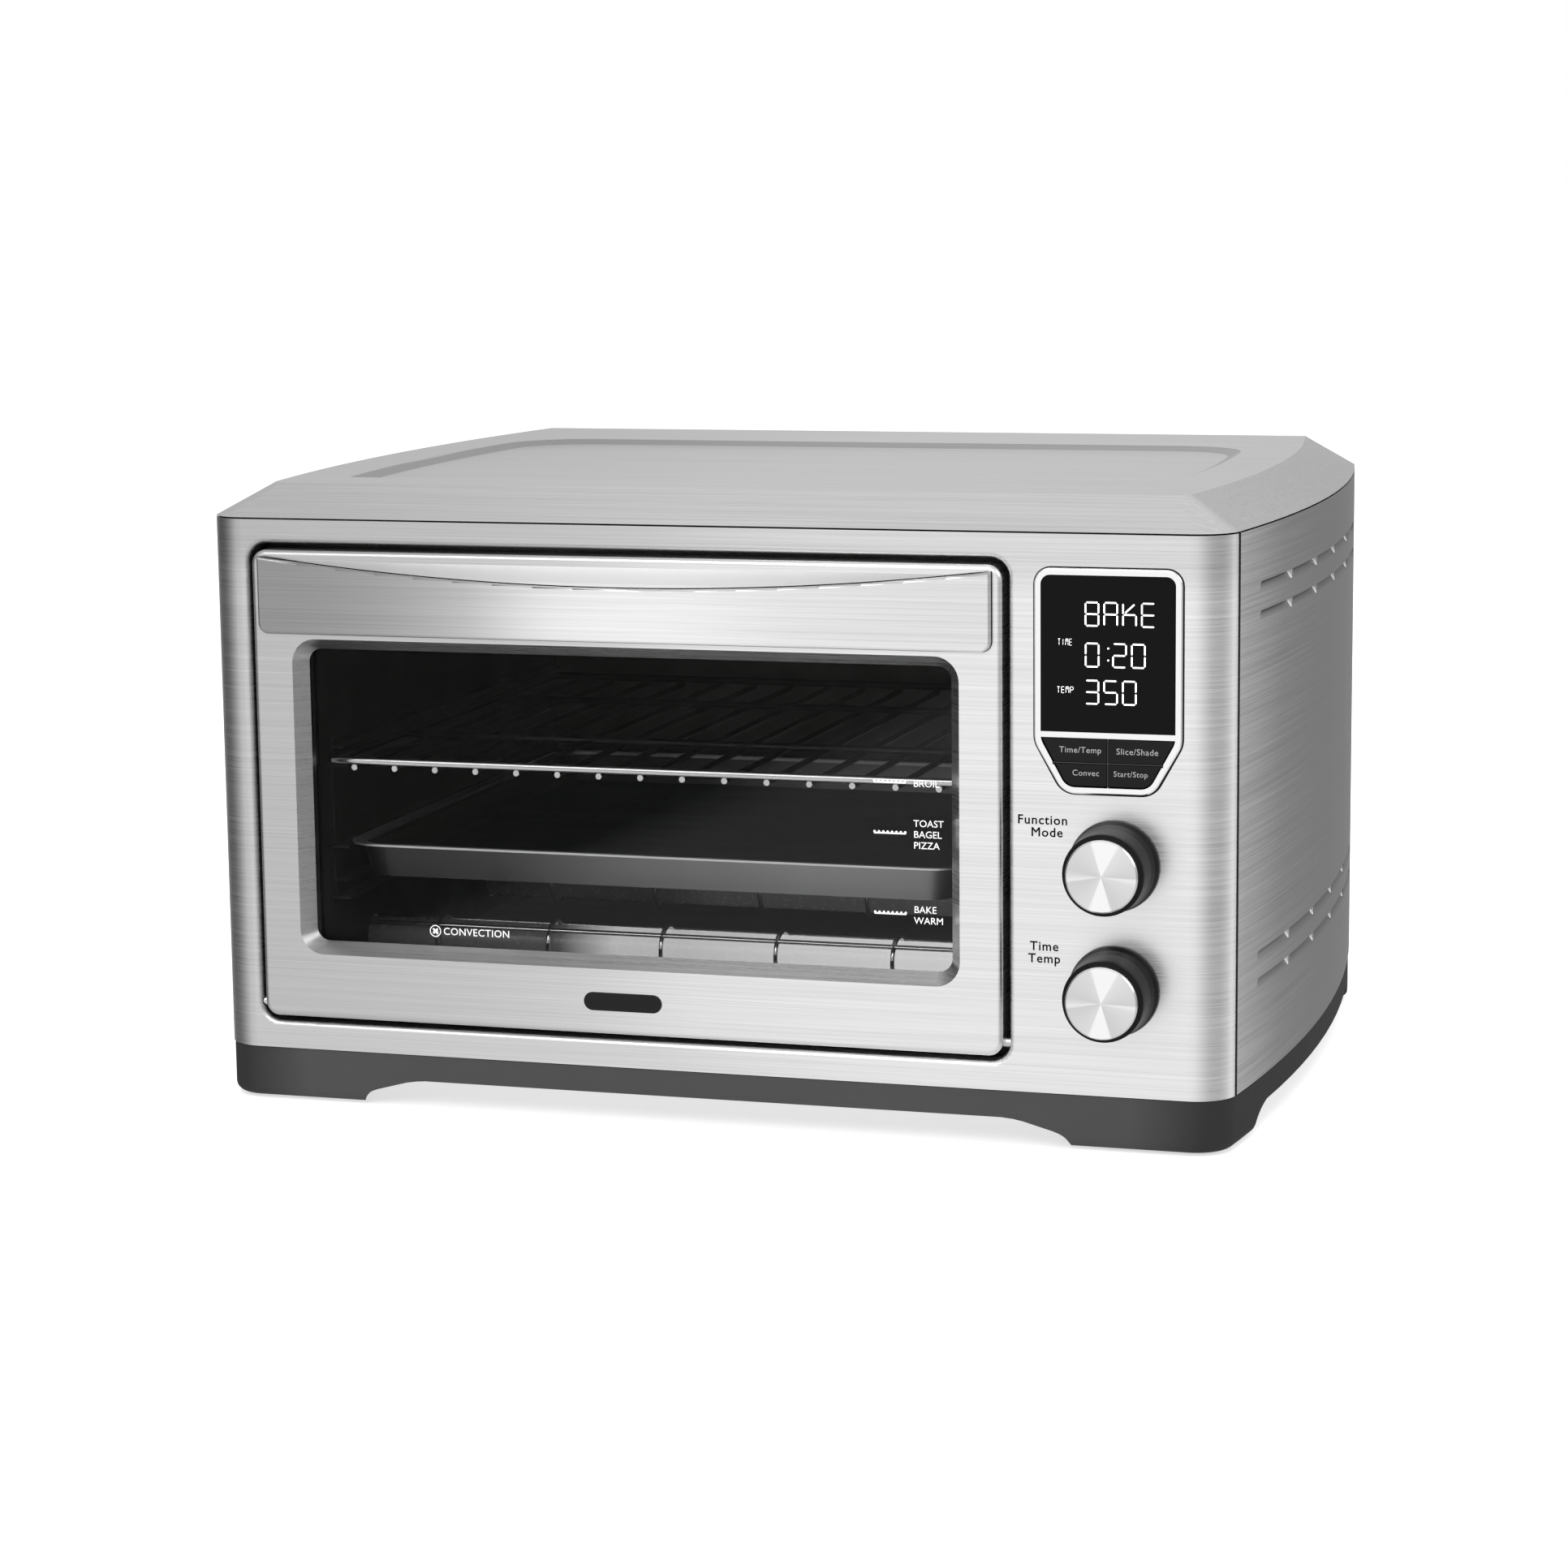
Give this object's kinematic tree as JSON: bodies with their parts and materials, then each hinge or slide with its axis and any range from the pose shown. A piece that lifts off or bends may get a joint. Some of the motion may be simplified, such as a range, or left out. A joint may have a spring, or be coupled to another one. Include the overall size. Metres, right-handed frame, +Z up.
{
  "type": "toaster oven",
  "caption": "Countertop toaster oven with a bowed steel case, bottom-hinged glass door, wire rack, bake pan, crumb tray, fan, display, keys and knobs.",
  "frame": {"origin": "under the middle of the whole oven, on the surface it stands on", "axes": "+X to the right seen from the front, +Y towards the rear, +Z up; the door faces -Y"},
  "size_m": [0.5228, 0.436, 0.301],
  "materials": {
    "base_plastic": "finely textured charcoal moulding",
    "rubber": "matt black",
    "zinc_steel": "zinc coated sheet",
    "case_steel": "fine horizontal brushing, satin",
    "side_steel": "fine horizontal brushing, satin",
    "top_steel": "fine brushing, satin",
    "door_steel": "fine horizontal brushing, satin",
    "handle_steel": "fine horizontal brushing, bright",
    "cavity_steel": "aluminised sheet, dulled by heat",
    "pan_steel": "satin grey",
    "bright_wire": "bright plating",
    "screw_steel": "bright zinc",
    "motor_steel": "dull zinc",
    "fan_aluminium": "pressed sheet",
    "spun_aluminium": "spun face with fine rings",
    "trim_chrome": "bright plating",
    "black_gloss": "glossy black",
    "black_plastic": "satin black",
    "key_plastic": "satin charcoal",
    "knob_plastic": "satin charcoal",
    "relay_plastic": "moulded black",
    "circuit_board": "green resist",
    "brass_posts": "turned",
    "wire_cover": "heat-proof sleeve",
    "ceramic_white": "unglazed",
    "quartz": "frosted heater glass",
    "window_glass": "clear, dark tinted",
    "seal_rubber": "silicone",
    "heater_wire": "hot resistance wire"
  },
  "bodies": {
    "case": {"base_skirt": "base_plastic", "rubber_feet": "rubber", "bottom_plate": "zinc_steel", "front_fascia": "case_steel", "side_panel_left": "side_steel", "side_panel_right": "side_steel", "top_cover": "top_steel", "rear_cover": "zinc_steel", "cord_inlet": "black_plastic", "case_screws": "screw_steel", "cavity_left_wall": "cavity_steel", "cavity_right_wall": "cavity_steel", "cavity_roof": "cavity_steel", "cavity_floor": "cavity_steel", "cavity_back": "cavity_steel", "cavity_front_frame": "cavity_steel", "rack_guides": "cavity_steel", "heater_tubes": "quartz", "heater_coils": "heater_wire", "heater_end_caps": "ceramic_white", "heater_guards": "bright_wire", "temperature_probe": "screw_steel", "thermal_cutout": "screw_steel", "heat_shields": "zinc_steel", "fan_grille": "cavity_steel", "fan_housing": "zinc_steel", "fan_motor": "motor_steel", "motor_bracket": "zinc_steel", "control_bezel": "trim_chrome", "display_lens": "black_gloss", "display_module": "black_plastic", "control_board": "circuit_board", "board_bracket": "brass_posts", "tact_switches": "black_plastic", "encoders": "motor_steel", "power_board": "circuit_board", "relays": "relay_plastic", "transformer": "motor_steel", "wiring_harness": "wire_cover", "hinge_brackets": "zinc_steel"},
    "door": {"door_outer_frame": "door_steel", "handle_pocket": "door_steel", "handle_plate": "handle_steel", "door_inner_frame": "cavity_steel", "door_glass": "window_glass", "glass_gasket": "seal_rubber", "glass_retainer": "zinc_steel", "door_hinge_pins": "screw_steel"},
    "rack": {"wire_rack": "bright_wire"},
    "pan": {"bake_pan": "pan_steel"},
    "tray": {"crumb_tray": "pan_steel"},
    "fan": {"fan_wheel": "fan_aluminium"},
    "mode_dial": {"mode_knob": "knob_plastic", "mode_knob_cap": "spun_aluminium"},
    "time_dial": {"time_knob": "knob_plastic", "time_knob_cap": "spun_aluminium"},
    "timer_button": {"key_timer": "key_plastic"},
    "units_button": {"key_units": "key_plastic"},
    "fan_button": {"key_fan": "key_plastic"},
    "start_button": {"key_start": "key_plastic"}
  },
  "joints": [
    {"name": "door_hinge", "type": "hinge", "parent": "case", "child": "door", "pos_m": [0, -0.185, 0.0485], "axis": [1, 0, 0], "range_deg": [0, 90]},
    {"name": "rack_slide", "type": "slide", "parent": "case", "child": "rack", "axis": [0, -1, 0], "range_m": [0, 0.158]},
    {"name": "pan_slide", "type": "slide", "parent": "case", "child": "pan", "axis": [0, -1, 0], "range_m": [0, 0.095]},
    {"name": "crumb_tray_slide", "type": "slide", "parent": "case", "child": "tray", "axis": [0, 1, 0], "range_m": [0, 0.3]},
    {"name": "fan_spin", "type": "hinge", "parent": "case", "child": "fan", "pos_m": [0.13, -0.017, 0.207], "axis": [1, 0, 0], "continuous": true},
    {"name": "mode_knob_turn", "type": "hinge", "parent": "case", "child": "mode_dial", "pos_m": [0.197, -0.189, 0.1343], "axis": [0, 1, 0], "continuous": true},
    {"name": "time_knob_turn", "type": "hinge", "parent": "case", "child": "time_dial", "pos_m": [0.197, -0.189, 0.0763], "axis": [0, 1, 0], "continuous": true},
    {"name": "timer_button_press", "type": "slide", "parent": "case", "child": "timer_button", "axis": [0, 1, 0], "range_m": [0, 0.0008], "stiffness_N_per_m": 300},
    {"name": "units_button_press", "type": "slide", "parent": "case", "child": "units_button", "axis": [0, 1, 0], "range_m": [0, 0.0008], "stiffness_N_per_m": 300},
    {"name": "fan_button_press", "type": "slide", "parent": "case", "child": "fan_button", "axis": [0, 1, 0], "range_m": [0, 0.0008], "stiffness_N_per_m": 300},
    {"name": "start_button_press", "type": "slide", "parent": "case", "child": "start_button", "axis": [0, 1, 0], "range_m": [0, 0.0008], "stiffness_N_per_m": 300}
  ],
  "couplings": [
    {"joint": "rack_slide", "follows": "door_hinge", "m_per_rad": 0.1},
    {"joint": "pan_slide", "follows": "door_hinge", "m_per_rad": 0.06}
  ]
}
